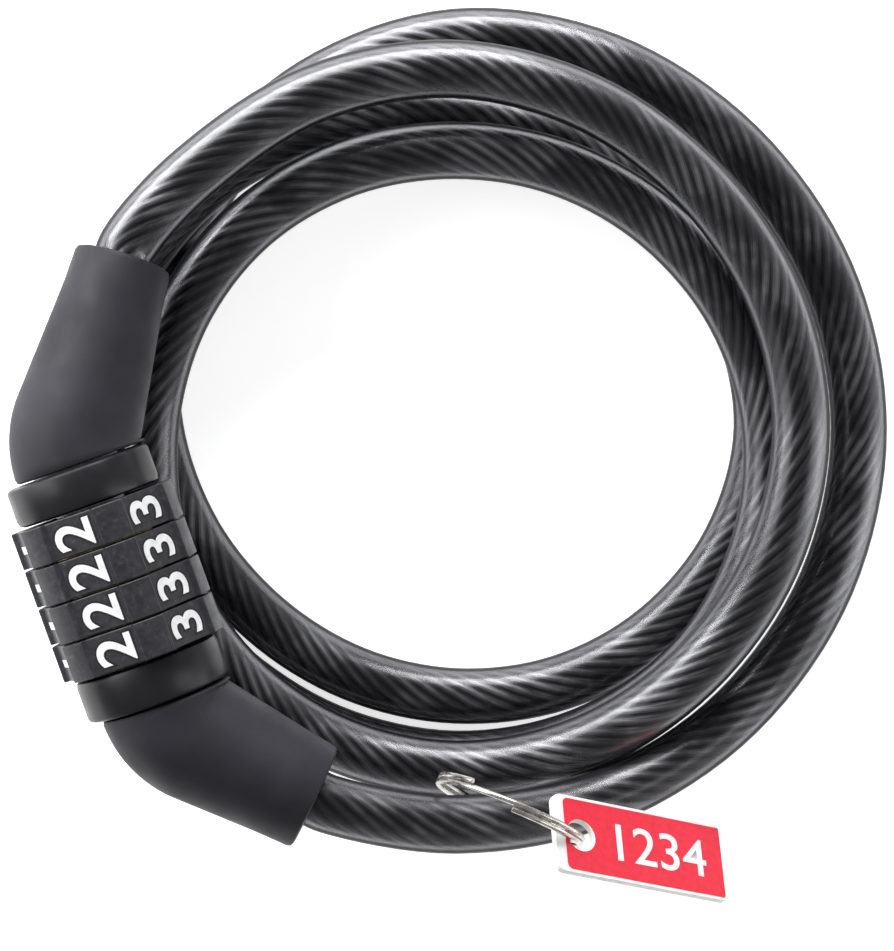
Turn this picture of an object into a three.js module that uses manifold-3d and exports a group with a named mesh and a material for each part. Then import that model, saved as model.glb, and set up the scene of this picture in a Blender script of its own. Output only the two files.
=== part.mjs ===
// A coiled steel cable lock: a four-dial combination head, its two elbow boots,
// a cable in three and three-quarter turns, and a code tag on a split ring.
// Millimetres, +Z up. The lock lies flat: the coil's axis is Z.
import * as THREE from "three";
import { mergeVertices } from "three/addons/utils/BufferGeometryUtils.js";
import Module from "manifold-3d";

const wasm = await Module();
wasm.setup();

// --- driving dimensions -------------------------------------------------
// moves the coil's centre so that the origin is the middle of the footprint
const ORIGIN_SHIFT = [-0.618, 4.366, -0.075];
const GAP = 0.3; // between pieces that touch

const CABLE_R = 6;
const ROPE_R = 4.1;
const SHEATH_BORE_R = 4.55;
const CABLE_SIDES = 10;
const STEP_DEG = 22.5; // one tube step of the coil
const WAY_DEG = 45; // one row of the route below
const ROUTE_START_DEG = 135;
// the coil's route, clockwise from the plug: [radius, height] every 45 degrees
const ROUTE = [
  [75.4, 37.0], [74.6, 31.6], [71.6, 30.6], [71.3, 31.8],
  [70.1, 30.4], [71.4, 20.2], [68.8, 20.4], [64.0, 19.2],
  [60.6, 22.8], [58.4, 22.8], [60.8, 19.8], [66.2, 19.2],
  [70.2, 17.6], [71.0, 7.0], [70.8, 7.4], [76.8, 13.8],
  [73.6, 19.6], [66.6, 10.0], [64.4, 6.2], [65.6, 6.2],
  [61.4, 6.2], [57.6, 6.2], [57.8, 6.2], [64.0, 6.2],
  [73.6, 6.2], [83.2, 6.2], [84.9, 7.0], [86.0, 9.4],
  [84.2, 19.0], [80.0, 40.5],
];
// the coil steps at which the cable's solids meet, from the plug: a lead, then three lengths
const CABLE_JOINTS = [4, 21, 39];

const HEAD_CENTRE = [-68.5, -29.6, 45.0];
const HEAD_TILT_DEG = 19.5; // the head's axis, from +Y towards -X
const DIAL_COUNT = 4;
const DIGITS = 6;
const DIAL_PITCH = 8.1;
const DIAL_WIDTH = 7.7;
const DIAL_RIB_R = 17.3;
const DIAL_FACE_R = 15.3; // to the flat digit faces
const DIAL_BORE_R = 10.95;
const RIB_HALF_DEG = 10.7;
const FIRST_RIB_DEG = 17.5; // a rib's middle, from straight up towards the coil
const STACK = (DIAL_COUNT * DIAL_PITCH) / 2; // half the dials' length

const COLLAR_R = 15;
const UPPER_COLLAR = [16.5, 24.7];
const LOWER_COLLAR = [-25.4, -16.5];

const CORE_R = 7.2;
const CORE_BORE_R = 5.1;
const CORE_TOP = 19;
const CORE_FLANGE = [-17.8, -16.8];
const GATE_R = 10.6;
const GATE_BORE_R = 7.55;
const GATE_WALL_R = 9.8;
const GATE_HALF = 3.5;
const WEB_FROM = 0.9; // the gate ring's web, above the dial's middle
const KEYWAY_R = 9.7;
const KEYWAY_W = 4.4;

const PIN_R = 4.7;
const LUG_R = 9.2;
const LUG_W = 3.2;
const LUG = [-2.6, -0.6];
const FERRULE_R = 8.9;

const BOOT_R = 13.7;
const BOOT_LEAN = 1.2; // the outside of a boot stands off its bore at the lock, towards the bend
const BOOT_SKIN_R = 9.3; // what is further out than this is the outside
const BOOT_BEND_R = 13.9;
const BOOT_STRAIGHT = 0.5;
const BOOT_GRIP = 12; // how far the sheath goes into a boot
const EXIT_STRAIGHT = 3; // and how far it runs straight outside
// each boot's bend, its straight run after it, and how far its bend leans down
const UPPER_BOOT = { up: 1, bendDeg: 37.2, run: 34.2, exitR: 10, dipDeg: 15 };
const LOWER_BOOT = { up: -1, bendDeg: 44.8, run: 26.8, exitR: 11.2, dipDeg: 0 };

const RING_CENTRE = [11.3, -77.4, 39.4];
const RING_R = 15.9;
const RING_WIRE = 1.2;
const RING_TURN_DEG = -23.5;
const RING_LEAN_DEG = 14;
const TAG_ON_RING_DEG = 25;
const TAG = [42, 17, 1.6];
const TAG_HOLE_R = 3.3;
const TAG_HOLE_IN = 6.3;
const TAG_ALONG = [0.845, -0.24, -0.478];
const TAG_DOWN = [0.134, -0.858, 0.497];

const rad = THREE.MathUtils.degToRad;

// --- materials ----------------------------------------------------------
const finish = (color, roughness, metalness = 0) =>
  new THREE.MeshStandardMaterial({ color, roughness, metalness });
const SMOKY_PVC = finish(0x2a2b2f, 0.25);
const STEEL = finish(0x9a9da1, 0.4, 1);
const BOOT_PLASTIC = finish(0x2e2e34, 0.6);
const COLLAR_PLASTIC = finish(0x141416, 0.2);
const DIAL_PLASTIC = finish(0x232327, 0.5);
const BRASS = finish(0xb8964e, 0.35, 1);
const SPRING_STEEL = finish(0x777a80, 0.3, 1);
const NICKEL = finish(0xc8c8c4, 0.2, 1);
const RED_LAMINATE = finish(0xe8344a, 0.4);

// --- shapes -------------------------------------------------------------
const group = new THREE.Group();
const polar = (r, deg) => new THREE.Vector2(r * Math.cos(rad(deg)), r * Math.sin(rad(deg)));

function arc(r, from, to, steps) {
  return Array.from({ length: steps + 1 }, (_, i) => polar(r, from + ((to - from) * i) / steps));
}

const ring = (r, sides) => arc(r, 0, 360 - 360 / sides, sides - 1);

// a flat outline with holes, extruded from z0 to z1
function plate(outline, holes, z0, z1) {
  const shape = new THREE.Shape(outline);
  shape.holes = holes.map((points) => new THREE.Path(points));
  const geometry = new THREE.ExtrudeGeometry(shape, { depth: z1 - z0, bevelEnabled: false });
  return geometry.translate(0, 0, z0);
}

// a closed [radius, height] profile turned about Z
function turned(profile, sides = 40) {
  const points = profile.map(([r, z]) => new THREE.Vector2(r, z));
  if (profile[0][0] > 0) points.push(points[0].clone());
  return new THREE.LatheGeometry(points, sides).rotateX(Math.PI / 2);
}

const rod = (r, z0, z1, sides = 32) => turned([[0, z0], [r, z0], [r, z1], [0, z1]], sides);

function box(x0, x1, y0, y1, z0, z1) {
  return new THREE.BoxGeometry(x1 - x0, y1 - y0, z1 - z0).translate(
    (x0 + x1) / 2, (y0 + y1) / 2, (z0 + z1) / 2,
  );
}

// booleans
function toSolid(geometry) {
  const bare = geometry.clone();
  bare.deleteAttribute("normal");
  bare.deleteAttribute("uv");
  const merged = mergeVertices(bare, 1e-4);
  return new wasm.Manifold(new wasm.Mesh({
    numProp: 3,
    vertProperties: merged.attributes.position.array,
    triVerts: new Uint32Array(merged.index.array),
  }));
}

function toGeometry(solid) {
  const made = solid.getMesh();
  const geometry = new THREE.BufferGeometry();
  geometry.setAttribute("position", new THREE.BufferAttribute(made.vertProperties, 3));
  geometry.setIndex(new THREE.BufferAttribute(made.triVerts, 1));
  geometry.computeVertexNormals();
  return geometry;
}

function cut(geometry, ...tools) {
  const left = tools.reduce((solid, tool) => solid.subtract(toSolid(tool)), toSolid(geometry));
  return toGeometry(left);
}

function join(geometry, ...more) {
  return toGeometry(more.reduce((solid, piece) => solid.add(toSolid(piece)), toSolid(geometry)));
}

function add(parent, name, geometry, material) {
  const mesh = new THREE.Mesh(geometry, material);
  mesh.name = name;
  parent.add(mesh);
  return mesh;
}

// --- the head's own frame: Z along the lock towards the plug, X towards the
// coil's middle, Y down --------------------------------------------------
const headZ = new THREE.Vector3(-Math.sin(rad(HEAD_TILT_DEG)), Math.cos(rad(HEAD_TILT_DEG)), 0);
const headX = new THREE.Vector3(Math.cos(rad(HEAD_TILT_DEG)), Math.sin(rad(HEAD_TILT_DEG)), 0);
const headY = new THREE.Vector3(0, 0, -1);
const head = new THREE.Group();
head.quaternion.setFromRotationMatrix(new THREE.Matrix4().makeBasis(headX, headY, headZ));
head.position.set(...HEAD_CENTRE);
group.add(head);
head.updateMatrixWorld(true);

// the middle line of a boot, from the lock's end
function bootLine(boot, distance) {
  const dip = rad(boot.dipDeg);
  const bend = rad(boot.bendDeg);
  const side = new THREE.Vector3(Math.cos(dip), Math.sin(dip), 0);
  const axis = new THREE.Vector3(0, 0, boot.up);
  const start = boot.up > 0 ? UPPER_COLLAR[1] + GAP : LOWER_COLLAR[0] - GAP;
  const turn = THREE.MathUtils.clamp((distance - BOOT_STRAIGHT) / BOOT_BEND_R, 0, bend);
  const before = Math.min(distance, BOOT_STRAIGHT);
  const after = Math.max(distance - BOOT_STRAIGHT - BOOT_BEND_R * bend, 0);
  const heading = axis.clone().multiplyScalar(Math.cos(turn)).addScaledVector(side, Math.sin(turn));
  const point = new THREE.Vector3(0, 0, start)
    .addScaledVector(axis, before + BOOT_BEND_R * Math.sin(turn))
    .addScaledVector(side, BOOT_BEND_R * (1 - Math.cos(turn)))
    .addScaledVector(heading, after);
  return { point, heading, side };
}

const bendEnd = (boot) => BOOT_STRAIGHT + BOOT_BEND_R * rad(boot.bendDeg);
const bootLength = (boot) => bendEnd(boot) + boot.run;

// a shape turned about Z from 0 to the boot's length, bent along the middle line
function bentAlongBoot(geometry, boot) {
  const position = geometry.attributes.position;
  for (let i = 0; i < position.count; i++) {
    const { point, heading, side } = bootLine(boot, position.getZ(i));
    const third = new THREE.Vector3().crossVectors(heading, side).normalize();
    const across = new THREE.Vector3().crossVectors(third, heading);
    const [x, y] = [position.getX(i), position.getY(i)];
    const fade = 1 - position.getZ(i) / bootLength(boot);
    const lean = Math.hypot(x, y) > BOOT_SKIN_R ? BOOT_LEAN * fade : 0;
    point.addScaledVector(across, x + lean).addScaledVector(third, y);
    position.setXYZ(i, point.x, point.y, point.z);
  }
  geometry.computeVertexNormals();
  return geometry;
}

function addBoot(boot, name) {
  const steps = 5;
  const length = bootLength(boot);
  const along = (i) => BOOT_STRAIGHT + ((bendEnd(boot) - BOOT_STRAIGHT) * i) / steps;
  const gripFrom = length - BOOT_GRIP - GAP;
  const profile = [[BOOT_R - 0.8, 0], [BOOT_R, 0.8]];
  for (let i = 1; i <= steps; i++) profile.push([BOOT_R - 0.1 * i, along(i)]);
  profile.push([boot.exitR + 0.4, length - 8]);
  profile.push([boot.exitR, length - 1], [boot.exitR - 0.8, length]);
  profile.push([CABLE_R + GAP, length], [CABLE_R + GAP, gripFrom], [ROPE_R + GAP, gripFrom]);
  for (let i = steps; i >= 1; i--) profile.push([ROPE_R + GAP, along(i)]);
  profile.push([ROPE_R + GAP, 0]);
  const sleeve = turned(profile, 32);
  const lockEnd = boot.up > 0 ? UPPER_COLLAR[1] : LOWER_COLLAR[0];
  const deep = lockEnd + 2.8 * boot.up;
  const shallow = lockEnd - boot.up;
  const pocket = rod(FERRULE_R + GAP, Math.min(deep, shallow), Math.max(deep, shallow));
  add(head, name, cut(bentAlongBoot(sleeve, boot), pocket), BOOT_PLASTIC);
}

// --- dials --------------------------------------------------------------
// angles in the head frame: 0 is straight up (-Y), positive towards +X
const fromTop = (deg) => deg - 90;

function dialOutline() {
  const points = [];
  const pitch = 360 / DIGITS;
  for (let i = 0; i < DIGITS; i++) {
    const middle = fromTop(FIRST_RIB_DEG + i * pitch);
    const foot = RIB_HALF_DEG + 1.5;
    const footR = DIAL_FACE_R / Math.cos(rad(pitch / 2 - foot));
    points.push(polar(footR, middle - foot));
    points.push(...arc(DIAL_RIB_R, middle - RIB_HALF_DEG, middle + RIB_HALF_DEG, 4));
    points.push(polar(footR, middle + foot));
  }
  return points;
}

// a round hole with slots: [angle from the top, width, outer radius]
function keyedCircle(r, slots) {
  const points = [];
  const edges = slots.map(([deg, width, out]) => {
    const half = THREE.MathUtils.radToDeg(Math.asin(width / 2 / r));
    const halfOut = THREE.MathUtils.radToDeg(Math.asin(width / 2 / out));
    return { deg: fromTop(deg), half, halfOut, out };
  }).sort((a, b) => a.deg - b.deg);
  edges.forEach((slot, i) => {
    const next = edges[(i + 1) % edges.length];
    const nextFrom = next.deg - next.half + (i + 1 === edges.length ? 360 : 0);
    points.push(polar(slot.out, slot.deg - slot.halfOut), polar(slot.out, slot.deg + slot.halfOut));
    points.push(...arc(r, slot.deg + slot.half, nextFrom, Math.round(30 / edges.length)));
  });
  return points;
}

const KEYHOLE = keyedCircle(GATE_BORE_R, [[180, KEYWAY_W, KEYWAY_R]]);

function addDial(index) {
  const middle = STACK - DIAL_PITCH * (index - 0.5);
  const half = DIAL_WIDTH / 2;
  const bore = keyedCircle(DIAL_BORE_R, [[90, 3.6, 12.2], [270, 3.6, 12.2]]);
  const dial = plate(dialOutline(), [bore], middle - half, middle + half);
  add(head, `dial_${index}`, dial, DIAL_PLASTIC);
  const rim = keyedCircle(GATE_R, [[90, 3, 11.9], [270, 3, 11.9]]);
  const web = plate(rim, [KEYHOLE], middle + WEB_FROM, middle + GATE_HALF);
  const wall = plate(rim, [ring(GATE_WALL_R, 30)], middle - GATE_HALF, middle + WEB_FROM);
  add(head, `gate_ring_${index}`, join(web, wall), BRASS);
}

// --- what the dials turn on ---------------------------------------------
function addCore() {
  const tube = turned([
    [CORE_BORE_R, CORE_FLANGE[0]], [12, CORE_FLANGE[0]], [12, CORE_FLANGE[1]],
    [CORE_R, CORE_FLANGE[1]], [CORE_R, CORE_TOP], [CORE_BORE_R, CORE_TOP],
  ]);
  const slot = box(-2, 2, 0, 9, -16, CORE_TOP + 1);
  const springFlat = box(-2.2, 2.2, -9, -6.2, -16, 16);
  const pinHole = rod(1.1, 3, 9, 16).rotateY(Math.PI / 2).translate(0, 0, 17.7);
  add(head, "core_tube", cut(tube, slot, springFlat, pinHole), STEEL);

  // one strip of spring steel, with a bump that clicks in each dial's ring
  const top = [];
  const thick = 0.4;
  for (let i = 0; i < DIAL_COUNT; i++) {
    const middle = -STACK + DIAL_PITCH * (i + 0.5);
    top.push([middle - 3, 6.9], [middle - 1.7, 9.4], [middle - 0.9, 9.4], [middle + 0.4, 6.9]);
  }
  const run = [[-15.6, 6.9], ...top, [15.6, 6.9]];
  const under = run.map(([z, r]) => [z, r - thick]).reverse();
  const outline = [...run, ...under].map(([z, r]) => new THREE.Vector2(z, r));
  const strip = new THREE.ExtrudeGeometry(new THREE.Shape(outline), { depth: 3, bevelEnabled: false });
  strip.translate(0, 0, -1.5);
  // drawn in (along the axis, outwards): turned so that outwards is straight up
  strip.applyMatrix4(new THREE.Matrix4().makeBasis(
    new THREE.Vector3(0, 0, 1), new THREE.Vector3(0, -1, 0), new THREE.Vector3(1, 0, 0),
  ));
  add(head, "detent_spring", strip, SPRING_STEEL);

  for (let i = 1; i < DIAL_COUNT; i++) {
    const z = STACK - DIAL_PITCH * i;
    const washer = plate(ring(10.3, 30), [KEYHOLE], z - 0.25, z + 0.25);
    add(head, `dial_spacer_${i}`, washer, BRASS);
  }

  const wave = turned([[7.7, -16.35], [10.3, -16.35], [10.3, -16.05], [7.7, -16.05]], 36);
  const position = wave.attributes.position;
  for (let i = 0; i < position.count; i++) {
    const around = Math.atan2(position.getY(i), position.getX(i));
    position.setZ(i, position.getZ(i) + 0.15 * Math.cos(3 * around));
  }
  add(head, "wave_washer", wave, SPRING_STEEL);
}

function addCollars() {
  const [u0, u1] = UPPER_COLLAR;
  const upper = turned([
    [0, u0], [COLLAR_R - 1.2, u0], [COLLAR_R - 0.3, u0 + 0.4], [COLLAR_R, u0 + 1.4],
    [COLLAR_R, u1 - 1], [COLLAR_R - 0.8, u1 - 0.1], [COLLAR_R - 1.6, u1], [0, u1],
  ]);
  const keyhole = plate(KEYHOLE, [], u0 - 1, u1 + 1);
  const socket = rod(KEYWAY_R, CORE_TOP + 0.2, u1 + 1);
  const upperHole = rod(1.1, 5, 18, 16).rotateY(Math.PI / 2).translate(0, 0, 17.7);
  add(head, "upper_collar", cut(upper, keyhole, socket, upperHole), COLLAR_PLASTIC);
  add(head, "upper_collar_pin", rod(0.8, 6, 14.6, 12).rotateY(Math.PI / 2).translate(0, 0, 17.7), STEEL);

  const [l0, l1] = LOWER_COLLAR;
  const lower = turned([
    [0, l0], [COLLAR_R - 1.6, l0], [COLLAR_R - 0.8, l0 + 0.1], [COLLAR_R, l0 + 1],
    [COLLAR_R, l1 - 1.4], [COLLAR_R - 0.3, l1 - 0.4], [COLLAR_R - 1.2, l1], [0, l1],
  ]);
  const flangeSeat = rod(12.3, CORE_FLANGE[0] - GAP, l1 + 1);
  const ferruleBore = rod(FERRULE_R + GAP, l0 - 1, CORE_FLANGE[0]);
  const lowerHole = rod(1.3, -10, 18, 16).rotateY(Math.PI / 2).translate(0, 0, -20.2);
  add(head, "lower_collar", cut(lower, flangeSeat, ferruleBore, lowerHole), COLLAR_PLASTIC);
  add(head, "lower_cross_pin", rod(1, -9.6, 14.6, 12).rotateY(Math.PI / 2).translate(0, 0, -20.2), STEEL);

  const lowerFerrule = turned([
    [0, -22.4], [ROPE_R + 0.5, -22.4], [ROPE_R + 0.5, -27.6], [FERRULE_R, -27.6],
    [FERRULE_R, -18.2], [0, -18.2],
  ]);
  const through = rod(1.3, -12, 12, 16).rotateY(Math.PI / 2).translate(0, 0, -20.2);
  add(head, "lower_ferrule", cut(lowerFerrule, through), STEEL);
  addBoot(LOWER_BOOT, "lower_boot");
}

// --- the plug -----------------------------------------------------------
function addPlug() {
  addBoot(UPPER_BOOT, "upper_boot");
  const ferrule = turned([
    [0, 23.2], [0, 23.6], [ROPE_R + 0.5, 23.6], [ROPE_R + 0.5, 27], [FERRULE_R, 27],
    [FERRULE_R, 20.8], [3.5, 20.8], [3.5, 23.2],
  ].reverse());
  const crossHole = rod(1, -10, 10, 16).rotateY(Math.PI / 2).translate(0, 0, 21.9);
  add(head, "upper_ferrule", cut(ferrule, crossHole), STEEL);
  add(head, "plug_cross_pin", rod(0.7, -8.6, 8.6, 12).rotateY(Math.PI / 2).translate(0, 0, 21.9), STEEL);

  const shaft = turned([
    [0, -16.5], [3.6, -16.5], [PIN_R, -15], [PIN_R, 19.5], [8.6, 19.5], [8.6, 20.5],
    [3.2, 20.5], [3.2, 22.9], [0, 22.9],
  ]);
  const stubHole = rod(1, -5, 5, 16).rotateY(Math.PI / 2).translate(0, 0, 21.9);
  const lugs = [];
  for (let i = 0; i < DIAL_COUNT; i++) {
    const middle = STACK - DIAL_PITCH * (i + 0.5);
    lugs.push(box(-LUG_W / 2, LUG_W / 2, 2, LUG_R, middle + LUG[0], middle + LUG[1]));
  }
  add(head, "locking_pin", cut(join(shaft, ...lugs), stubHole), STEEL);
}

// --- the cable ----------------------------------------------------------
function coilPoints() {
  const rows = ROUTE.map(([r, z], i) => new THREE.Vector3(ROUTE_START_DEG - WAY_DEG * i, r, z));
  const smooth = new THREE.CatmullRomCurve3(rows, false, "catmullrom", 0.5);
  const count = ((rows.length - 1) * WAY_DEG) / STEP_DEG;
  const points = [];
  for (let i = 0; i <= count; i++) {
    const row = smooth.getPoint(i / count);
    const flat = polar(row.y, row.x);
    points.push(new THREE.Vector3(flat.x, flat.y, row.z));
  }
  return points;
}

// points along a boot's middle line, from one distance to another, in world space
function bootPoints(boot, from, to, count) {
  return Array.from({ length: count }, (_, i) => {
    const { point } = bootLine(boot, from + ((to - from) * i) / (count - 1));
    return head.localToWorld(point);
  });
}

// a tube through the points, one step between each two
function cable(points, outer, inner) {
  const curve = new THREE.CatmullRomCurve3(points, false, "centripetal");
  curve.getUtoTmapping = (u) => u;
  const shape = new THREE.Shape(ring(outer, CABLE_SIDES));
  if (inner) shape.holes = [new THREE.Path(ring(inner, CABLE_SIDES))];
  return new THREE.ExtrudeGeometry(shape, {
    steps: points.length - 1, extrudePath: curve, bevelEnabled: false,
  });
}

function addCable() {
  const coil = coilPoints();
  const ends = [UPPER_BOOT, LOWER_BOOT].map((boot) => {
    const length = bootLength(boot);
    return { boot, grip: length - BOOT_GRIP, straight: length + EXIT_STRAIGHT };
  });
  const [plugEnd, headEnd] = ends;
  const plugGrip = bootPoints(plugEnd.boot, plugEnd.grip, plugEnd.straight, 4);
  const headGrip = bootPoints(headEnd.boot, headEnd.straight, headEnd.grip, 4);

  // two lengths meet face to face, square to the cable
  const past = (step, distance) => {
    const onward = coil[step + 1].clone().sub(coil[step - 1]).normalize();
    return coil[step].clone().addScaledVector(onward, distance);
  };
  const stops = [0, ...CABLE_JOINTS, coil.length - 1];
  const pieces = stops.slice(1).map((stop, i) => {
    const start = stops[i];
    const from = i ? [past(start, 4 + GAP), past(start, 8), ...coil.slice(start + 1, stop)] : [
      ...plugGrip, ...coil.slice(0, stop),
    ];
    const to = stop < coil.length - 1 ? [coil[stop], past(stop, 4)] : [coil[stop], ...headGrip];
    return [...from, ...to];
  });
  const names = ["cable_lead", "cable_turn_1", "cable_turn_2", "cable_turn_3"];
  pieces.forEach((points, i) => add(group, names[i], cable(points, CABLE_R, SHEATH_BORE_R), SMOKY_PVC));

  const rope = [
    ...bootPoints(plugEnd.boot, -0.9, plugEnd.grip - 2, 6),
    ...pieces.flatMap((points, i) => (i ? points.slice(1) : points)),
    ...bootPoints(headEnd.boot, headEnd.grip - 2, -1.9, 6),
  ];
  add(group, "steel_rope", cable(rope, ROPE_R), STEEL);
}

// --- split ring and tag -------------------------------------------------
const ringAlong = new THREE.Vector3(Math.cos(rad(RING_TURN_DEG)), Math.sin(rad(RING_TURN_DEG)), 0);
const ringFlatNormal = new THREE.Vector3(-Math.sin(rad(RING_TURN_DEG)), Math.cos(rad(RING_TURN_DEG)), 0);
const ringUp = new THREE.Vector3(0, 0, Math.cos(rad(RING_LEAN_DEG)))
  .addScaledVector(ringFlatNormal, Math.sin(rad(RING_LEAN_DEG)));
const ringNormal = new THREE.Vector3().crossVectors(ringAlong, ringUp);

function addRing() {
  const pitch = RING_WIRE + 0.12;
  const turns = 1.9;
  const steps = 50;
  const points = Array.from({ length: steps + 1 }, (_, i) => {
    const around = rad(130) + (turns * 2 * Math.PI * i) / steps;
    const along = pitch * turns * (i / steps - 0.5);
    return new THREE.Vector3(...RING_CENTRE)
      .addScaledVector(ringAlong, RING_R * Math.cos(around))
      .addScaledVector(ringUp, RING_R * Math.sin(around))
      .addScaledVector(ringNormal, along);
  });
  const curve = new THREE.CatmullRomCurve3(points);
  curve.getUtoTmapping = (u) => u;
  const geometry = new THREE.ExtrudeGeometry(new THREE.Shape(ring(RING_WIRE / 2, 6)), {
    steps, extrudePath: curve, bevelEnabled: false,
  });
  add(group, "split_ring", geometry, NICKEL);
}

function addTag() {
  const [length, height, thick] = TAG;
  const corner = 2;
  const outline = [];
  const centres = [
    [length - TAG_HOLE_IN - 0.6, height / 2 - 0.6, 0, 0.6],
    [-TAG_HOLE_IN + corner, height / 2 - corner, 90, corner],
    [-TAG_HOLE_IN + corner, -height / 2 + corner, 180, corner],
    [length - TAG_HOLE_IN - 0.6, -height / 2 + 0.6, 270, 0.6],
  ];
  for (const [x, y, from, r] of centres) {
    outline.push(...arc(r, from, from + 90, 3).map((p) => p.add(new THREE.Vector2(x, y))));
  }
  const geometry = plate(outline, [ring(TAG_HOLE_R, 24)], -thick / 2, thick / 2);
  const mesh = add(group, "code_tag", geometry, RED_LAMINATE);
  const along = new THREE.Vector3(...TAG_ALONG).normalize();
  const face = new THREE.Vector3().crossVectors(new THREE.Vector3(...TAG_DOWN), along).normalize();
  const up = new THREE.Vector3().crossVectors(face, along);
  mesh.quaternion.setFromRotationMatrix(new THREE.Matrix4().makeBasis(along, up, face));
  mesh.position.set(...RING_CENTRE)
    .addScaledVector(ringAlong, RING_R * Math.cos(rad(TAG_ON_RING_DEG)))
    .addScaledVector(ringUp, RING_R * Math.sin(rad(TAG_ON_RING_DEG)));
}

addCore();
for (let i = 1; i <= DIAL_COUNT; i++) addDial(i);
addCollars();
addPlug();
addCable();
addRing();
addTag();
group.position.set(...ORIGIN_SHIFT);

export default group;
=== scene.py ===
"""A coiled steel cable lock with a four-dial head, lying on a pale floor. Metres, +Z up."""
import math

import bmesh
import bpy
from mathutils import Matrix, Vector


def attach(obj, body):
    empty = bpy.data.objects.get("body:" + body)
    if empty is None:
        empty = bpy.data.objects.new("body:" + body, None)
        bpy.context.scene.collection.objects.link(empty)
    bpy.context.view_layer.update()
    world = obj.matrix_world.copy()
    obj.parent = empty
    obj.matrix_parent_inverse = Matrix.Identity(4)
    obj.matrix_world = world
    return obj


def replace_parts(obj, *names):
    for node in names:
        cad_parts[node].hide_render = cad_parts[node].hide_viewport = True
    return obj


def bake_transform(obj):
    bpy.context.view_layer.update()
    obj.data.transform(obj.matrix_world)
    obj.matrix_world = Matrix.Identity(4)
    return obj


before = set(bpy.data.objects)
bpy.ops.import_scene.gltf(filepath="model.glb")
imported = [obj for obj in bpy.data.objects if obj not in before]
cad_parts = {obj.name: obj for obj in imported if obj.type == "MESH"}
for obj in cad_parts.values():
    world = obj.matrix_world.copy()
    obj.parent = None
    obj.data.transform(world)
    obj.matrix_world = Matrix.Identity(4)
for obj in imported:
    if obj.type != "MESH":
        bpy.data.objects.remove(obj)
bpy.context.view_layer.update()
TAU = 2 * math.pi

# --- driving dimensions, as in the CAD model --------------------------------
ORIGIN_SHIFT = Vector((-0.000618, 0.004366, -0.000075))
GAP = 0.0003
CABLE_R = 0.006
ROPE_R = 0.0041
SEEN_ROPE_R = 0.0052  # the clear sheath is a lens, which makes the rope look thicker
ROPE_STRANDS = 12
ROPE_LAY_DEG = 30
STEP_DEG = 22.5
WAY_DEG = 45
ROUTE_START_DEG = 135
# the coil's route, clockwise from the plug: [radius, height] every 45 degrees
ROUTE = [
    [0.0754, 0.0370], [0.0746, 0.0316], [0.0716, 0.0306], [0.0713, 0.0318],
    [0.0701, 0.0304], [0.0714, 0.0202], [0.0688, 0.0204], [0.0640, 0.0192],
    [0.0606, 0.0228], [0.0584, 0.0228], [0.0608, 0.0198], [0.0662, 0.0192],
    [0.0702, 0.0176], [0.0710, 0.0070], [0.0708, 0.0074], [0.0768, 0.0138],
    [0.0736, 0.0196], [0.0666, 0.0100], [0.0644, 0.0062], [0.0656, 0.0062],
    [0.0614, 0.0062], [0.0576, 0.0062], [0.0578, 0.0062], [0.0640, 0.0062],
    [0.0736, 0.0062], [0.0832, 0.0062], [0.0849, 0.0070], [0.0860, 0.0094],
    [0.0842, 0.0190], [0.0800, 0.0405],
]
HEAD_CENTRE = Vector((-0.0685, -0.0296, 0.0450)) + ORIGIN_SHIFT
HEAD_TILT = math.radians(19.5)
DIAL_COUNT = 4
DIGITS = 6
DIAL_PITCH = 0.0081
DIAL_WIDTH = 0.0077
DIAL_RIB_R = 0.0173
DIAL_FACE_R = 0.0153
DIAL_BORE_R = 0.01095
RIB_HALF_DEG = 10.7
FIRST_RIB_DEG = 17.5
STACK = DIAL_COUNT * DIAL_PITCH / 2
COLLAR_R = 0.015
UPPER_COLLAR = (0.0165, 0.0247)
LOWER_COLLAR = (-0.0254, -0.0165)
KEYHOLE_R = 0.00755
KEYWAY_R = 0.0097
KEYWAY_W = 0.0044
CORE_TOP = 0.019
CORE_FLANGE_Z = -0.0178
FLANGE_SEAT_R = 0.0123
FERRULE_R = 0.0089
BOOT_R = 0.0137
BOOT_LEAN = 0.0012  # the outside of a boot stands off its bore at the lock, towards the bend
BOOT_SKIN_R = 0.0093
BOOT_BEND_R = 0.0139
BOOT_STRAIGHT = 0.0005
BOOT_GRIP = 0.012
EXIT_STRAIGHT = 0.003
UPPER_BOOT = {
    "up": 1, "bend": math.radians(37.2), "run": 0.0342, "exit_r": 0.010, "dip": math.radians(15),
}
LOWER_BOOT = {"up": -1, "bend": math.radians(44.8), "run": 0.0268, "exit_r": 0.0112, "dip": 0.0}
RING_CENTRE = Vector((0.0113, -0.0774, 0.0394)) + ORIGIN_SHIFT
RING_R = 0.0159
RING_WIRE = 0.0012
RING_TURN = math.radians(-23.5)
RING_LEAN = math.radians(14)
TAG_ON_RING = math.radians(25)
TAG = (0.042, 0.017, 0.0016)
TAG_HOLE_R = 0.0033
TAG_HOLE_IN = 0.0063
TAG_ALONG = Vector((0.845, -0.24, -0.478)).normalized()
TAG_DOWN = Vector((0.134, -0.858, 0.497))
TAG_CODE = "1234"

# --- camera ------------------------------------------------------------------
camera = bpy.data.objects.new("camera", bpy.data.cameras.new("camera"))
bpy.context.scene.collection.objects.link(camera)
camera.location = Vector((-0.001683, 0.027050, 0.717041)) + ORIGIN_SHIFT
camera.rotation_euler = (math.radians(-3), 0, 0)
camera.data.sensor_fit = "VERTICAL"
camera.data.sensor_height = 36
camera.data.lens = 125.87
camera.data.clip_end = 20
bpy.context.scene.camera = camera
bpy.context.view_layer.update()


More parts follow.
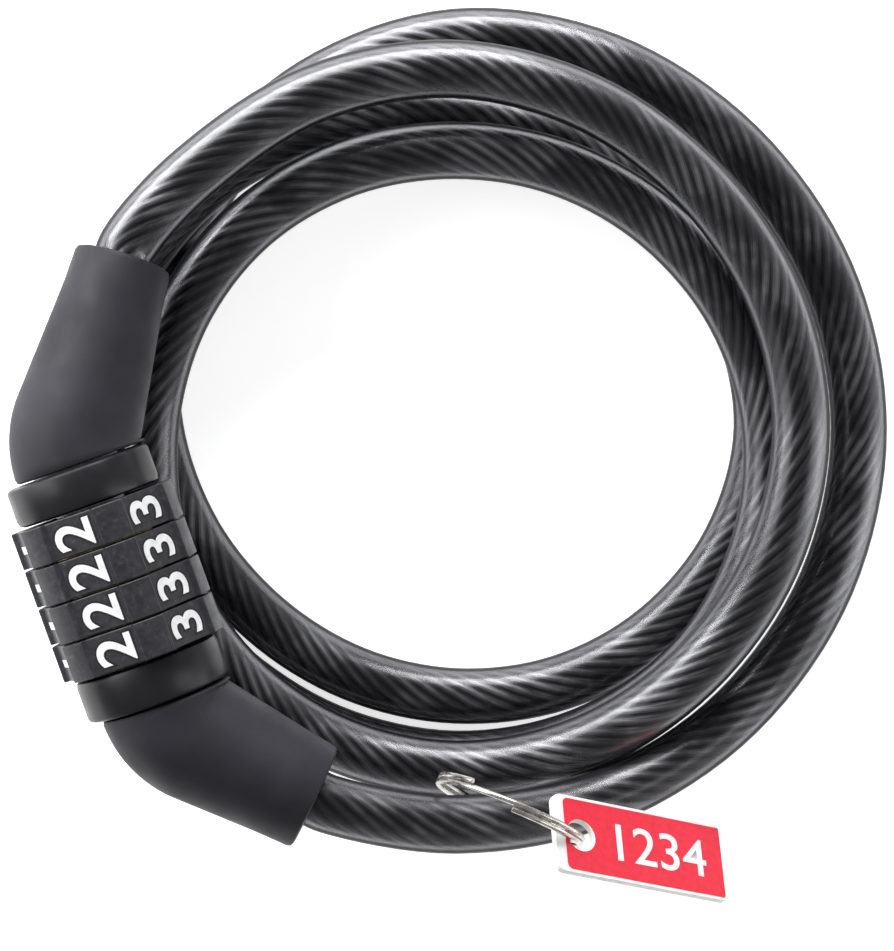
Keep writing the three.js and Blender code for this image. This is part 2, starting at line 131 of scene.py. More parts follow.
# --- materials ---------------------------------------------------------------
class Shader:
    """A Principled material with short calls for the nodes that drive it."""

    def __init__(self, name, color, roughness, metallic=0.0, **sockets):
        self.material = bpy.data.materials.new(name)
        self.material.use_nodes = True
        self.tree = self.material.node_tree
        self.main = self.tree.nodes["Principled BSDF"]
        self.out = self.tree.nodes["Material Output"]
        self.main.inputs["Base Color"].default_value = (*color, 1)
        self.main.inputs["Roughness"].default_value = roughness
        self.main.inputs["Metallic"].default_value = metallic
        for socket, value in sockets.items():
            self.main.inputs[socket.replace("_", " ")].default_value = value
        self.place = self.node("ShaderNodeTexCoord").outputs["Object"]
        self.height = None

    def node(self, kind, **settings):
        made = self.tree.nodes.new(kind)
        for key, value in settings.items():
            setattr(made, key, value)
        return made

    def link(self, a, b):
        self.tree.links.new(a, b)

    def noise(self, scale, detail=3.0, stretch=None):
        made = self.node("ShaderNodeTexNoise")
        made.inputs["Scale"].default_value = scale
        made.inputs["Detail"].default_value = detail
        source = self.place
        if stretch:
            mapping = self.node("ShaderNodeMapping")
            mapping.inputs["Scale"].default_value = stretch
            self.link(source, mapping.inputs["Vector"])
            source = mapping.outputs["Vector"]
        self.link(source, made.inputs["Vector"])
        return made.outputs["Fac"]

    def math(self, operation, a, b=0.0):
        made = self.node("ShaderNodeMath", operation=operation)
        for socket, value in zip(made.inputs, (a, b)):
            if isinstance(value, (int, float)):
                socket.default_value = value
            else:
                self.link(value, socket)
        return made.outputs[0]

    def attribute(self, name):
        return self.node("ShaderNodeAttribute", attribute_name=name).outputs["Fac"]

    def ramp(self, source, stops):
        made = self.node("ShaderNodeValToRGB")
        elements = made.color_ramp.elements
        while len(elements) < len(stops):
            elements.new(0.5)
        for element, (position, color) in zip(elements, stops):
            element.position = position
            element.color = (*color, 1)
        self.link(source, made.inputs["Fac"])
        return made.outputs["Color"]

    def grey(self, source, low, high, start=0.3, end=0.7):
        return self.ramp(source, [(start, (low,) * 3), (end, (high,) * 3)])

    def colour(self, source, stops):
        self.link(self.ramp(source, stops), self.main.inputs["Base Color"])

    def rough(self, source, low, high, start=0.3, end=0.7):
        self.link(self.grey(source, low, high, start, end), self.main.inputs["Roughness"])

    def bump(self, source, strength, distance):
        made = self.node("ShaderNodeBump")
        made.inputs["Strength"].default_value = strength
        made.inputs["Distance"].default_value = distance
        self.link(source, made.inputs["Height"])
        if self.height is not None:
            self.link(self.height, made.inputs["Normal"])
        self.height = made.outputs["Normal"]
        self.link(self.height, self.main.inputs["Normal"])


def boot_plastic():
    """Matte charcoal, with a fine moulded grain and a few rubbed patches."""
    s = Shader("boot_plastic", (0.015, 0.015, 0.019), 0.5, Specular_IOR_Level=0.32)
    s.colour(s.noise(60, 5), [(0.35, (0.012, 0.012, 0.017)), (0.7, (0.024, 0.023, 0.032))])
    s.rough(s.noise(140, 4), 0.50, 0.66)
    s.bump(s.noise(2600, 2), 0.16, 0.0002)
    s.bump(s.noise(90, 2), 0.10, 0.0006)
    return s.material


def collar_plastic():
    """Glossy black, slightly wavy as moulded."""
    s = Shader("collar_plastic", (0.009, 0.009, 0.011), 0.3, Specular_IOR_Level=0.35)
    s.colour(s.noise(70, 3), [(0.3, (0.007, 0.007, 0.009)), (0.7, (0.014, 0.014, 0.017))])
    s.rough(s.noise(260, 4), 0.28, 0.40)
    s.bump(s.noise(120, 2), 0.14, 0.0006)
    return s.material


def dial_plastic():
    """Satin black, speckled, rubbed paler where fingers turn it."""
    s = Shader("dial_plastic", (0.02, 0.02, 0.025), 0.42)
    s.colour(s.noise(900, 3), [
        (0.35, (0.014, 0.014, 0.018)), (0.62, (0.026, 0.026, 0.032)), (0.78, (0.06, 0.06, 0.066)),
    ])
    s.rough(s.noise(300, 3), 0.33, 0.50)
    s.bump(s.noise(1900, 2), 0.14, 0.0002)
    return s.material


def ink(name, color):
    """Printed ink: nearly flat, a little uneven."""
    s = Shader(name, color, 0.45)
    s.colour(s.noise(700, 3), [(0.3, tuple(0.86 * c for c in color)), (0.6, color)])
    s.bump(s.noise(1500, 2), 0.1, 0.0001)
    return s.material


def plain_metal(name, color, roughness, stretch):
    """Machined or rolled metal, with fine tool lines and a mottled tone."""
    s = Shader(name, color, roughness, 1.0)
    low = tuple(0.75 * c for c in color)
    s.colour(s.noise(150, 4), [(0.3, low), (0.7, color)])
    s.rough(s.noise(500, 3, stretch), roughness - 0.08, roughness + 0.12)
    s.bump(s.noise(1500, 2, stretch), 0.12, 0.0001)
    return s.material


def nickel():
    """Bright nickel wire with fine draw lines and small dull spots."""
    s = Shader("nickel", (0.62, 0.60, 0.56), 0.2, 1.0)
    s.colour(s.noise(400, 4), [(0.35, (0.42, 0.40, 0.37)), (0.6, (0.68, 0.66, 0.62))])
    s.rough(s.noise(900, 3), 0.14, 0.34)
    s.bump(s.noise(2500, 2), 0.15, 0.0001)
    return s.material


def rope_steel():
    """Steel wires in strands, with painted shade: the colour darkens towards the groove between strands
    and ripples across the wires, so each strand's crown is lighter.
    """
    s = Shader("rope_steel", (0.2, 0.2, 0.2), 0.38, 0.6)
    groove = s.attribute("groove")
    wires = s.math("SINE", s.math("MULTIPLY", groove, 14.0))
    patches = s.grey(s.noise(75, 5), 0.0, 1.0, 0.40, 0.60)
    # random patches of tone, plus a ripple across the wires that is painted shade
    uneven = s.math("ADD", s.math("MULTIPLY", patches, 0.38), s.math("MULTIPLY", wires, 0.07))
    # painted shade: the tone falls towards the groove between strands
    tone = s.math("SUBTRACT", s.math("ADD", uneven, 0.52), s.math("MULTIPLY", groove, 0.55))
    s.colour(tone, [
        (0.18, (0.010, 0.010, 0.011)), (0.48, (0.065, 0.065, 0.068)),
        (0.66, (0.17, 0.17, 0.175)), (0.85, (0.38, 0.38, 0.38)),
    ])
    s.rough(s.noise(350, 3), 0.32, 0.5)
    s.bump(wires, 0.3, 0.00012)
    return s.material


def smoky_sheath():
    """Clear smoky PVC: seen through from the front, glossy, with bright edges."""
    s = Shader("smoky_pvc", (0.008, 0.008, 0.010), 0.3, IOR=1.2, Specular_IOR_Level=0.2)
    s.colour(s.noise(35, 4), [(0.3, (0.008, 0.008, 0.010)), (0.7, (0.016, 0.016, 0.019))])
    s.rough(s.noise(90, 4), 0.22, 0.36)
    s.bump(s.noise(45, 2), 0.08, 0.001)
    clear = s.node("ShaderNodeBsdfTransparent")
    clear.inputs["Color"].default_value = (0.80, 0.80, 0.82, 1)
    shine = s.node("ShaderNodeBsdfGlossy")
    shine.inputs["Color"].default_value = (0.8, 0.8, 0.84, 1)
    shine.inputs["Roughness"].default_value = 0.27
    edge = s.node("ShaderNodeLayerWeight")
    edge.inputs["Blend"].default_value = 0.5
    facing = edge.outputs["Facing"]
    density = s.ramp(facing, [(0.18, (0.05,) * 3), (0.42, (0.34,) * 3), (0.54, (0.94,) * 3)])
    gloss = s.ramp(facing, [
        (0.0, (0.03,) * 3), (0.12, (0.07,) * 3), (0.26, (0.19,) * 3), (0.46, (0.18,) * 3),
        (0.62, (0.0,) * 3),
    ])
    body = s.node("ShaderNodeMixShader")
    s.link(density, body.inputs["Fac"])
    s.link(clear.outputs["BSDF"], body.inputs[1])
    s.link(s.main.outputs["BSDF"], body.inputs[2])
    whole = s.node("ShaderNodeMixShader")
    s.link(gloss, whole.inputs["Fac"])
    s.link(body.outputs["Shader"], whole.inputs[1])
    s.link(shine.outputs["BSDF"], whole.inputs[2])
    s.link(whole.outputs["Shader"], s.out.inputs["Surface"])
    return s.material


BOOT = boot_plastic()
COLLAR = collar_plastic()
DIAL = dial_plastic()
WHITE_INK = ink("numeral_white", (0.86, 0.86, 0.87))
EDGE_INK = ink("numeral_edge", (0.004, 0.004, 0.005))
STEEL = plain_metal("steel", (0.5, 0.5, 0.5), 0.34, (1, 1, 6))
SPRING = plain_metal("spring_steel", (0.36, 0.37, 0.39), 0.28, (6, 1, 1))
BRASS = plain_metal("brass", (0.66, 0.49, 0.22), 0.3, (1, 6, 1))
NICKEL = nickel()
ROPE = rope_steel()
SHEATH = smoky_sheath()
TAG_RED = ink("tag_red", (0.74, 0.012, 0.04))
TAG_WHITE = ink("tag_white", (0.88, 0.87, 0.86))


# --- meshes ------------------------------------------------------------------
def make(name, verts, faces, material, sharp_deg=35):
    """A mesh object with outward normals, smooth except across sharp edges."""
    mesh = bpy.data.meshes.new(name)
    mesh.from_pydata([tuple(v) for v in verts], [], faces)
    shape = bmesh.new()
    shape.from_mesh(mesh)
    bmesh.ops.recalc_face_normals(shape, faces=shape.faces)
    shape.to_mesh(mesh)
    shape.free()
    mesh.shade_smooth()
    mesh.set_sharp_from_angle(angle=math.radians(sharp_deg))
    mesh.materials.append(material)
    obj = bpy.data.objects.new(name, mesh)
    bpy.context.scene.collection.objects.link(obj)
    return obj


def soften(obj, width, segments=3, angle_deg=40):
    bevel = obj.modifiers.new("rounded_edges", "BEVEL")
    bevel.width = width
    bevel.segments = segments
    bevel.limit_method = "ANGLE"
    bevel.angle_limit = math.radians(angle_deg)
    bevel.harden_normals = True
    return obj


def grid_faces(rows, sides, closed):
    """Quads between rings of points, each ring with the same number of sides."""
    faces = []
    for i in range(rows if closed else rows - 1):
        j = (i + 1) % rows
        for k in range(sides):
            m = (k + 1) % sides
            faces.append((i * sides + k, i * sides + m, j * sides + m, j * sides + k))
    return faces


def turned(name, profile, material, place, sides=96):
    """A [radius, height] profile that closes on itself, turned about Z and then placed."""
    verts = [
        place(Vector((r * math.cos(TAU * k / sides), r * math.sin(TAU * k / sides), z)))
        for r, z in profile
        for k in range(sides)
    ]
    return make(name, verts, grid_faces(len(profile), sides, True), material)


HEAD = Matrix.Translation(HEAD_CENTRE) @ Matrix((
    (math.cos(HEAD_TILT), 0, -math.sin(HEAD_TILT), 0),
    (math.sin(HEAD_TILT), 0, math.cos(HEAD_TILT), 0),
    (0, -1, 0, 0),
    (0, 0, 0, 1),
))


def in_head(point):
    return HEAD @ point


def boot_line(boot, distance):
    """Point, heading and bend side on a boot's middle line, in the head's frame."""
    side = Vector((math.cos(boot["dip"]), math.sin(boot["dip"]), 0))
    axis = Vector((0, 0, boot["up"]))
    start = UPPER_COLLAR[1] + GAP if boot["up"] > 0 else LOWER_COLLAR[0] - GAP
    turn = min(max((distance - BOOT_STRAIGHT) / BOOT_BEND_R, 0), boot["bend"])
    before = min(distance, BOOT_STRAIGHT)
    after = max(distance - bend_end(boot), 0)
    heading = axis * math.cos(turn) + side * math.sin(turn)
    point = Vector((0, 0, start)) + axis * (before + BOOT_BEND_R * math.sin(turn))
    point += side * BOOT_BEND_R * (1 - math.cos(turn)) + heading * after
    return point, heading, side


def bend_end(boot):
    return BOOT_STRAIGHT + BOOT_BEND_R * boot["bend"]


def boot_length(boot):
    return bend_end(boot) + boot["run"]


def on_boot(boot):
    """Places a point given as (across, third, distance) round a boot's middle line."""
    def place(p):
        point, heading, side = boot_line(boot, p.z)
        third = heading.cross(side).normalized()
        across = third.cross(heading)
        lean = BOOT_LEAN * (1 - p.z / boot_length(boot)) if math.hypot(p.x, p.y) > BOOT_SKIN_R else 0
        return in_head(point + across * (p.x + lean) + third * p.y)
    return place


# --- the cable's middle line -------------------------------------------------
def spline(p0, p1, p2, p3, w, power):
    """A Catmull-Rom stretch from p1 to p2; power 0 is uniform, 0.5 centripetal."""
    d0 = (p1 - p0).length ** power
    d1 = (p2 - p1).length ** power
    d2 = (p3 - p2).length ** power
    t1 = ((p1 - p0) / d0 - (p2 - p0) / (d0 + d1) + (p2 - p1) / d1) * d1
    t2 = ((p2 - p1) / d1 - (p3 - p1) / (d1 + d2) + (p3 - p2) / d2) * d1
    return p1 + t1 * w + (-3 * p1 + 3 * p2 - 2 * t1 - t2) * w ** 2 + (2 * p1 - 2 * p2 + t1 + t2) * w ** 3


def smooth_line(points, per, power):
    first = 2 * points[0] - points[1]
    last = 2 * points[-1] - points[-2]
    padded = [first, *points, last]
    line = [
        spline(*padded[i:i + 4], k / per, power)
        for i in range(len(points) - 1)
        for k in range(per)
    ]
    return [*line, points[-1]]


def coil_points():
    rows = [Vector((ROUTE_START_DEG - WAY_DEG * i, r, z)) for i, (r, z) in enumerate(ROUTE)]
    points = []
    for deg, r, z in smooth_line(rows, round(WAY_DEG / STEP_DEG), 0):
        a = math.radians(deg)
        points.append(Vector((r * math.cos(a), r * math.sin(a), z)) + ORIGIN_SHIFT)
    return points


def boot_points(boot, start, end, count):
    return [
        in_head(boot_line(boot, start + (end - start) * i / (count - 1))[0]) for i in range(count)
    ]


def grip(boot):
    """How far along a boot the sheath's end is."""
    return boot_length(boot) - BOOT_GRIP


def straight(boot):
    return boot_length(boot) + EXIT_STRAIGHT


cable_points = [
    *boot_points(UPPER_BOOT, grip(UPPER_BOOT), straight(UPPER_BOOT), 4),
    *coil_points(),
    *boot_points(LOWER_BOOT, straight(LOWER_BOOT), grip(LOWER_BOOT), 4),
]
IN_BOOT = 6  # route points of the bare rope inside each boot
BARE_GAP = 0.002  # from the last of them to the sheath's end
UPPER_ROPE_END = -0.0009  # the rope's ends, in the ferrules, as distances along the boots
LOWER_ROPE_END = -0.0019
rope_points = [
    *boot_points(UPPER_BOOT, UPPER_ROPE_END, grip(UPPER_BOOT) - BARE_GAP, IN_BOOT),
    *cable_points,
    *boot_points(LOWER_BOOT, grip(LOWER_BOOT) - BARE_GAP, LOWER_ROPE_END, IN_BOOT),
]


def lengths(line):
    """How far along the line each of its points is."""
    total = [0.0]
    for a, b in zip(line, line[1:]):
        total.append(total[-1] + (b - a).length)
    return total


def tube(name, line, section, material):
    """A closed tube along the line. section(distance) gives its ring of (x, y) points."""
    far = lengths(line)
    verts = []
    normal = None
    for i, point in enumerate(line):
        ahead = (line[min(i + 1, len(line) - 1)] - line[max(i - 1, 0)]).normalized()
        if normal is None:
            normal = ahead.orthogonal().normalized()
        normal = (normal - ahead * normal.dot(ahead)).normalized()
        binormal = ahead.cross(normal)
        verts.extend(point + normal * x + binormal * y for x, y in section(far[i]))
    sides = len(verts) // len(line)
    faces = grid_faces(len(line), sides, False)
    faces.append(tuple(range(sides)))
    faces.append(tuple(range(len(verts) - sides, len(verts))))
    obj = make(name, verts, faces, material, 60)
    along = obj.data.attributes.new("along", "FLOAT", "POINT")
    along.data.foreach_set("value", [d for d in far for _ in range(sides)])
    return obj


FLEX_FROM = 0.055  # a stretch of the cable, as distances along it
FLEX_TO = 0.42
plug_end = boot_points(UPPER_BOOT, 0, boot_length(UPPER_BOOT), 2)[1]


def bend_with_plug(obj, line, lead_in):
    """Bakes the object's placement into its mesh, and works out a weight for each point from its
    distance along; the weight is not used.
    """
    tuple(line[-1])
    tuple(line[0])
    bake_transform(obj)
    for value in obj.data.attributes["along"].data:
        t = (value.value - lead_in - FLEX_FROM) / (FLEX_TO - FLEX_FROM)
        t = min(max(t, 0), 1)


def circle(radius, sides):
    angles = [TAU * k / sides for k in range(sides)]
    return [(radius * math.cos(a), radius * math.sin(a)) for a in angles]


sheath_line = smooth_line(cable_points, 8, 0.5)
ROPE_STEPS = 15
rope_line = smooth_line(rope_points, ROPE_STEPS, 0.5)
rope_length = lengths(rope_line)[-1]
rope_lead = lengths(rope_line)[ROPE_STEPS * IN_BOOT]


STRAND_STEPS = (-1, -0.66, -0.22, 0.22, 0.66)  # across a strand, with the groove at -1 and 1
STRAND_DEPTH = 0.13  # of the rope's radius
SWELL_AFTER = 0.001  # inside the sheath, the rope grows to its seen thickness
SWELL_OVER = 0.006


def rope_section(distance):
    """Round strands side by side, turned with the distance so that they wind."""
    into = min(max((distance - rope_lead - SWELL_AFTER) / SWELL_OVER, 0), 1)
    out = min(max((rope_length - rope_lead - SWELL_AFTER - distance) / SWELL_OVER, 0), 1)
    radius = ROPE_R + (SEEN_ROPE_R - ROPE_R) * min(into, out)
    lobe = TAU / ROPE_STRANDS
    turn = distance * math.tan(math.radians(ROPE_LAY_DEG)) / SEEN_ROPE_R
    ring = []
    for strand in range(ROPE_STRANDS):
        for u in STRAND_STEPS:
            r = radius * (1 - STRAND_DEPTH * (1 - math.sqrt(1 - u * u)))
            a = turn + lobe * (strand + 0.5 * u)
            ring.append((r * math.cos(a), r * math.sin(a)))
    return ring


rope = tube("rope_strands", rope_line, rope_section, ROPE)
groove = rope.data.attributes.new("groove", "FLOAT", "POINT")
groove.data.foreach_set(
    "value", [abs(u) for _ in rope_line for _ in range(ROPE_STRANDS) for u in STRAND_STEPS],
)
sheath = tube("cable_sheath", sheath_line, lambda _: circle(CABLE_R, 40), SHEATH)
bend_with_plug(rope, rope_line, rope_lead)
bend_with_plug(sheath, sheath_line, 0)
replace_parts(sheath, "cable_lead", "cable_turn_1", "cable_turn_2", "cable_turn_3")
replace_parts(rope, "steel_rope")
tuple(plug_end)
[tuple(p) for p in sheath_line]


# --- boots and collars -------------------------------------------------------
BOOT_TAPER = 0.0005  # round the bend
BOOT_LIP = 0.0004  # the mouth's step down at the end of the taper
BOOT_LIP_LENGTH = 0.008
FERRULE_DEPTH = 0.0026
WALL_STEPS = 8


def boot_moulding(boot, name, body):
    length = boot_length(boot)
    steps = 14

    def along(i):
        return BOOT_STRAIGHT + (bend_end(boot) - BOOT_STRAIGHT) * i / steps

    profile = [(BOOT_R - 0.0008, 0), (BOOT_R - 0.00023, 0.00023), (BOOT_R, 0.0008)]
    profile += [(BOOT_R - BOOT_TAPER * i / steps, along(i)) for i in range(2, steps + 1)]
    wide = BOOT_R - BOOT_TAPER
    narrow = boot["exit_r"] + BOOT_LIP
    for i in range(1, WALL_STEPS + 1):
        t = i / WALL_STEPS
        z = bend_end(boot) + (length - BOOT_LIP_LENGTH - bend_end(boot)) * t
        profile.append((wide + (narrow - wide) * t, z))
    tip = boot["exit_r"]
    profile += [(tip, length - 0.001), (tip - 0.0003, length - 0.0003), (tip - 0.001, length)]
    bore = CABLE_R + GAP
    profile += [(bore + GAP, length), (bore, length - GAP), (bore, grip(boot) - GAP)]
    profile += [(ROPE_R + GAP, grip(boot) - GAP)]
    profile += [(ROPE_R + GAP, along(i)) for i in range(steps, 4, -1)]
    pocket = FERRULE_R + GAP
    profile += [(ROPE_R + GAP, FERRULE_DEPTH), (pocket, FERRULE_DEPTH), (pocket, 0)]
    piece = turned(name, profile, BOOT, on_boot(boot))
    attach(piece, body)
    return piece


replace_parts(boot_moulding(UPPER_BOOT, "upper_boot_moulding", "plug"), "upper_boot")
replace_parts(boot_moulding(LOWER_BOOT, "lower_boot_moulding", "lock_body"), "lower_boot")


def block(name, low, high, place):
    verts = [
        place(Vector((x, y, z)))
        for x in (low[0], high[0])
        for y in (low[1], high[1])
        for z in (low[2], high[2])
    ]
    faces = [(0, 1, 3, 2), (4, 6, 7, 5), (0, 4, 5, 1), (2, 3, 7, 6), (0, 2, 6, 4), (1, 5, 7, 3)]
    return make(name, verts, faces, COLLAR)


def cut_away(obj, tool):
    boolean = obj.modifiers.new("cut", "BOOLEAN")
    boolean.operation = "DIFFERENCE"
    boolean.solver = "EXACT"
    boolean.object = tool
    graph = bpy.context.evaluated_depsgraph_get()
    shaped = bpy.data.meshes.new_from_object(obj.evaluated_get(graph))
    obj.modifiers.clear()
    obj.data = shaped
    bpy.data.objects.remove(tool)


def collar_outside(dial_end, boot_end):
    """A collar's outer wall, with an eased edge by the dials and a rounder one by the boot."""
    way = math.copysign(1, boot_end - dial_end)
    return [
        (COLLAR_R - 0.0012, dial_end), (COLLAR_R - 0.0003, dial_end + way * 0.0004),
        (COLLAR_R, dial_end + way * 0.0014), (COLLAR_R, boot_end - way * 0.0010),
        (COLLAR_R - 0.0003, boot_end - way * 0.0004), (COLLAR_R - 0.0009, boot_end - way * 0.0001),
        (COLLAR_R - 0.0016, boot_end),
    ]


def upper_collar():
    u0, u1 = UPPER_COLLAR
    seat = CORE_TOP + 0.0002
    profile = collar_outside(u0, u1) + [
        (KEYWAY_R + GAP, u1), (KEYWAY_R, u1 - GAP), (KEYWAY_R, seat), (KEYHOLE_R, seat), (KEYHOLE_R, u0),
    ]
    piece = turned("upper_collar_ring", profile, COLLAR, in_head)
    low = (-KEYWAY_W / 2, 0.005, u0 - 0.002)
    high = (KEYWAY_W / 2, KEYWAY_R, seat + 0.001)
    cut_away(piece, block("keyway", low, high, in_head))
    return piece


def lower_collar():
    l0, l1 = LOWER_COLLAR
    seat = CORE_FLANGE_Z - GAP
    profile = collar_outside(l1, l0) + [
        (FERRULE_R + GAP, l0), (FERRULE_R + GAP, seat), (FLANGE_SEAT_R, seat), (FLANGE_SEAT_R, l1),
    ]
    return turned("lower_collar_ring", profile, COLLAR, in_head)


for collar, node in ((upper_collar(), "upper_collar"), (lower_collar(), "lower_collar")):
    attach(collar, "lock_body")
    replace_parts(collar, node)


# --- dials -------------------------------------------------------------------
def from_top(deg):
    """Straight up is -Y in the head's frame, and positive angles turn towards +X."""
    return math.radians(deg - 90)


def dial_outline():
    """(angle, radius) round a dial: a raised rib between each two flat digit faces."""
    pitch = 360 / DIGITS
    foot = RIB_HALF_DEG + 1.2
    flat_half = pitch / 2 - foot
    points = []
    for i in range(DIGITS):
        middle = FIRST_RIB_DEG + i * pitch
        for k in range(9):
            points.append((middle - RIB_HALF_DEG + 2 * RIB_HALF_DEG * k / 8, DIAL_RIB_R))
        for k in range(7):
            off = -flat_half + 2 * flat_half * k / 6
            radius = DIAL_FACE_R / math.cos(math.radians(off))
            points.append((middle + pitch / 2 + off, radius))
    return points


def dial(index):
    middle = STACK - DIAL_PITCH * (index - 0.5)
    half = DIAL_WIDTH / 2
    outline = dial_outline()
    verts = []
    for radius_of, z in (
        (lambda r: r, middle - half), (lambda r: r, middle + half),
        (lambda r: DIAL_BORE_R, middle + half), (lambda r: DIAL_BORE_R, middle - half),
    ):
        for deg, r in outline:
            a = from_top(deg)
            verts.append(in_head(Vector((radius_of(r) * math.cos(a), radius_of(r) * math.sin(a), z))))
    piece = make(f"dial_{index}_barrel", verts, grid_faces(4, len(outline), True), DIAL, 25)
    return soften(piece, 0.00028, 2, 25), middle


def glyph_mesh(text, thick, bold):
    """The text as a mesh centred on its own box, 1 unit high."""
    curve = bpy.data.curves.new("glyph", "FONT")
    curve.body = text
    curve.extrude = thick
    curve.offset = bold
    curve.resolution_u = 6
    holder = bpy.data.objects.new("glyph", curve)
    bpy.context.scene.collection.objects.link(holder)
    bpy.context.view_layer.update()
    graph = bpy.context.evaluated_depsgraph_get()
    mesh = bpy.data.meshes.new_from_object(holder.evaluated_get(graph))
    bpy.data.objects.remove(holder)
    return mesh


def lettering(name, items, width, height, thick, bold, grow, material):
    """One object of several texts: items are (text, matrix), each width by height."""
    made = bmesh.new()
    meshes = [glyph_mesh(text, 0.1, bold) for text, _ in items]
    widest = max(max(v.co.x for v in m.vertices) - min(v.co.x for v in m.vertices) for m in meshes)
    for mesh, (_, matrix) in zip(meshes, items):
        xs = [v.co.x for v in mesh.vertices]
        ys = [v.co.y for v in mesh.vertices]
        x_scale = (width + 2 * grow) / widest
        y_scale = (height + 2 * grow) / (max(ys) - min(ys))
        middle = Vector(((max(xs) + min(xs)) / 2, (max(ys) + min(ys)) / 2, 0))
        scale = Matrix.Diagonal((x_scale, y_scale, thick / 0.2, 1))
        mesh.transform(matrix @ scale @ Matrix.Translation(-middle))
        made.from_mesh(mesh)
    mesh = bpy.data.meshes.new(name)
    made.to_mesh(mesh)
    made.free()
    mesh.materials.append(material)
    obj = bpy.data.objects.new(name, mesh)
    bpy.context.scene.collection.objects.link(obj)
    return obj


NUMERAL = (0.0060, 0.0081)  # along the lock, and round the dial
NUMERAL_THICK = 0.00016
NUMERAL_BOLD = 0.016
EDGE_THICK = 0.00008  # the dark edge that shows round each numeral
EDGE_BOLD = 0.052
EDGE_GROW = 0.0004
FIRST_FACE_DEG = FIRST_RIB_DEG - 90


def numeral_places(middle):
    places = []
    for i in range(DIGITS):
        deg = FIRST_FACE_DEG + i * 360 / DIGITS
        out = Vector((math.cos(from_top(deg)), math.sin(from_top(deg)), 0))
        along = Vector((0, 0, 1))
        tall = out.cross(along)
        spot = out * DIAL_FACE_R + Vector((0, 0, middle))
        turn = Matrix((along, tall, out)).transposed().to_4x4()
        places.append((str(i + 1), HEAD @ Matrix.Translation(spot) @ turn))
    return places


for number in range(1, DIAL_COUNT + 1):
    barrel, middle_z = dial(number)
    places = numeral_places(middle_z)
    figures = lettering(
        f"dial_{number}_numerals", places, *NUMERAL, NUMERAL_THICK, NUMERAL_BOLD, 0, WHITE_INK,
    )
    edges = lettering(
        f"dial_{number}_numeral_edges", places, *NUMERAL, EDGE_THICK, EDGE_BOLD, EDGE_GROW, EDGE_INK,
    )
    for piece in (barrel, figures, edges):
        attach(piece, f"dial_{number}_body")
    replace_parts(barrel, f"dial_{number}")

# --- split ring --------------------------------------------------------------
ring_along = Vector((math.cos(RING_TURN), math.sin(RING_TURN), 0))
ring_up = Vector((-math.sin(RING_TURN) * math.sin(RING_LEAN),
                  math.cos(RING_TURN) * math.sin(RING_LEAN), math.cos(RING_LEAN)))
ring_normal = ring_along.cross(ring_up)


def split_ring():
    turns = 1.9
    steps = 220
    pitch = RING_WIRE + 0.00012
    line = []
    for i in range(steps + 1):
        a = math.radians(130) + turns * TAU * i / steps
        line.append(
            RING_CENTRE + ring_along * RING_R * math.cos(a) + ring_up * RING_R * math.sin(a)
            + ring_normal * pitch * turns * (i / steps - 0.5)
        )
    wire = tube("split_ring_wire", line, lambda _: circle(RING_WIRE / 2, 16), NICKEL)
    return soften(wire, 0.00012, 2, 60)


wire = split_ring()
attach(wire, "split_ring_body")
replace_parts(wire, "split_ring")

# --- code tag ----------------------------------------------------------------
tag_face = TAG_DOWN.cross(TAG_ALONG).normalized()
tag_up = tag_face.cross(TAG_ALONG)
tag_place = Matrix.Translation(
    RING_CENTRE + ring_along * RING_R * math.cos(TAG_ON_RING) + ring_up * RING_R * math.sin(TAG_ON_RING)
) @ Matrix((TAG_ALONG, tag_up, tag_face)).transposed().to_4x4()


def tag_outline(left, right, bottom, top, round_left, round_right):
    points = []
    for x, y, start, r in (
        (right - round_right, top - round_right, 0, round_right),
        (left + round_left, top - round_left, 90, round_left),
        (left + round_left, bottom + round_left, 180, round_left),
        (right - round_right, bottom + round_right, 270, round_right),
    ):
        for k in range(9):
            a = math.radians(start + 90 * k / 8)
            points.append(Vector((x + r * math.cos(a), y + r * math.sin(a))))
    return points


def plate_with_hole(name, outline, hole_r, z0, z1, material):
    """A plate whose hole, at the origin, has one point for each outline point."""
    verts = []
    for z, inner in ((z0, False), (z1, False), (z1, True), (z0, True)):
        for i, p in enumerate(outline):
            spot = p
            if inner:
                a = TAU * (i + 0.5) / len(outline)
                spot = Vector((hole_r * math.cos(a), hole_r * math.sin(a)))
            verts.append(tag_place @ Vector((spot.x, spot.y, z)))
    return make(name, verts, grid_faces(4, len(outline), True), material, 30)


tag_long, tag_high, tag_thick = TAG
LEFT, RIGHT = -TAG_HOLE_IN, tag_long - TAG_HOLE_IN
LAMINATE = 0.00012
core = plate_with_hole(
    "tag_core", tag_outline(LEFT, RIGHT, -tag_high / 2, tag_high / 2, 0.002, 0.0006),
    TAG_HOLE_R, -tag_thick / 2, tag_thick / 2 - 0.5 * LAMINATE, TAG_WHITE,
)
WHITE_END = 0.0024  # the white border at the end by the hole, along the sides and round the hole
WHITE_SIDE = 0.0007
WHITE_RING = 0.0002
face_top = tag_thick / 2 + 0.5 * LAMINATE
face_half = tag_high / 2 - WHITE_SIDE
face_outline = tag_outline(LEFT + WHITE_END, RIGHT - 0.0002, -face_half, face_half, 0.0012, 0.0005)
laminate = plate_with_hole(
    "tag_face", face_outline, TAG_HOLE_R + WHITE_RING, tag_thick / 2 - LAMINATE, face_top, TAG_RED,
)
CODE_MIDDLE = 0.0200
CODE = (0.0225, 0.0082)
code_place = tag_place @ Matrix.Translation((CODE_MIDDLE, 0, face_top))
code = lettering("tag_code", [(TAG_CODE, code_place)], *CODE, LAMINATE, 0.004, 0, TAG_WHITE)
soften(core, 0.0002, 2, 40)
for piece in (core, laminate, code):
    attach(piece, "tag")
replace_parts(core, "code_tag")

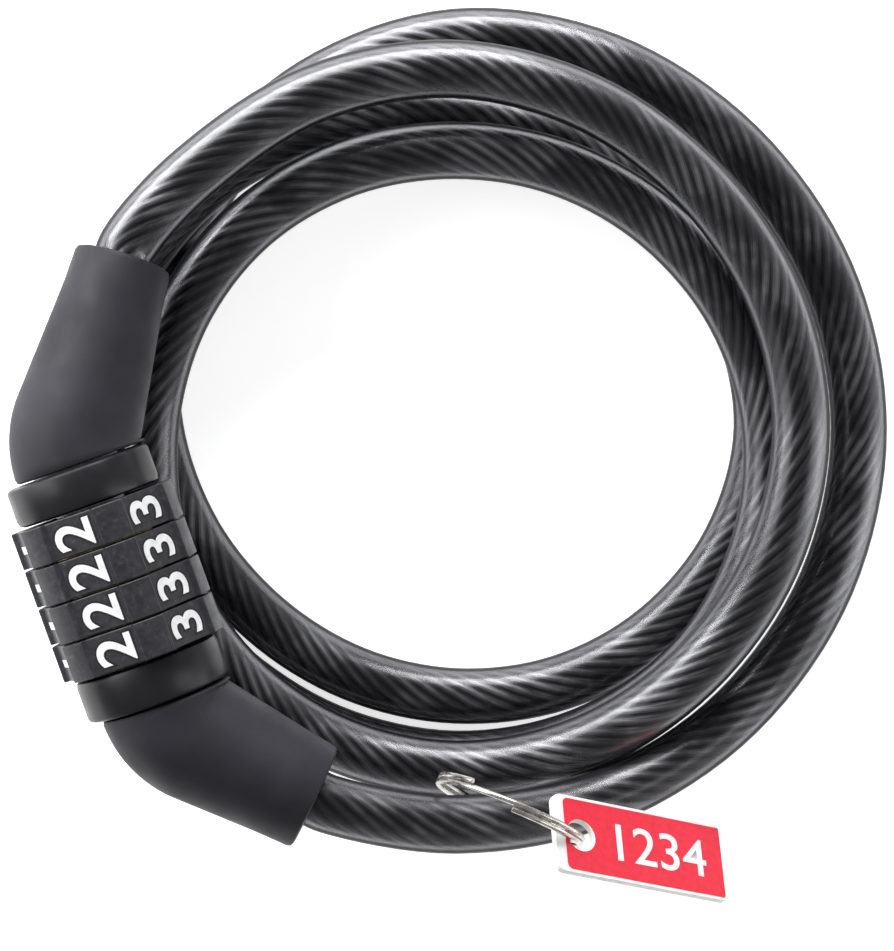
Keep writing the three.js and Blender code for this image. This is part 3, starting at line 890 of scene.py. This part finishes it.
# --- what is inside ----------------------------------------------------------
INSIDE = {
    STEEL: ["core_tube", "locking_pin", "lower_ferrule", "upper_ferrule", "upper_collar_pin",
            "lower_cross_pin", "plug_cross_pin"],
    SPRING: ["detent_spring", "wave_washer"],
    BRASS: [*(f"gate_ring_{i}" for i in range(1, 5)), *(f"dial_spacer_{i}" for i in range(1, 4))],
}
for metal, names in INSIDE.items():
    for name in names:
        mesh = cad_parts[name].data
        mesh.materials.clear()
        mesh.materials.append(metal)

# --- floor, light ------------------------------------------------------------
floor_material = Shader("pale_floor", (0.93, 0.93, 0.93), 0.75)
floor_material.colour(
    floor_material.noise(3, 2), [(0.3, (0.92, 0.92, 0.92)), (0.7, (0.95, 0.95, 0.95))],
)
floor_material.main.inputs["Emission Color"].default_value = (1, 1, 1, 1)
floor_material.main.inputs["Emission Strength"].default_value = 0.72
FLOOR_HALF = 3
FLOOR_DROP = 0.0003  # just clear of the cable
floor = make(
    "floor",
    [
        Vector((x * FLOOR_HALF, y * FLOOR_HALF, -FLOOR_DROP))
        for x, y in ((-1, -1), (1, -1), (1, 1), (-1, 1))
    ],
    [(0, 1, 2, 3)], floor_material.material,
)


def soft_light(name, place, aim, width, height, power):
    lamp = bpy.data.lights.new(name, "AREA")
    lamp.shape = "RECTANGLE"
    lamp.size = width
    lamp.size_y = height
    lamp.energy = power
    obj = bpy.data.objects.new(name, lamp)
    bpy.context.scene.collection.objects.link(obj)
    obj.location = place
    obj.rotation_euler = (Vector(aim) - Vector(place)).to_track_quat("-Z", "Y").to_euler()


soft_light("top_light", (-0.30, 0.76, 0.42), (0, 0, 0.02), 1.4, 0.5, 19)
soft_light("left_light", (-0.85, 0.10, 0.45), (0, 0, 0.02), 0.35, 0.9, 4)
soft_light("right_light", (0.85, -0.10, 0.40), (0, 0, 0.02), 0.30, 0.9, 2)
world = bpy.data.worlds.new("studio")
world.use_nodes = True
world.node_tree.nodes["Background"].inputs["Color"].default_value = (1, 1, 1, 1)
world.node_tree.nodes["Background"].inputs["Strength"].default_value = 0.30
bpy.context.scene.world = world
bpy.context.scene.view_settings.view_transform = "Standard"
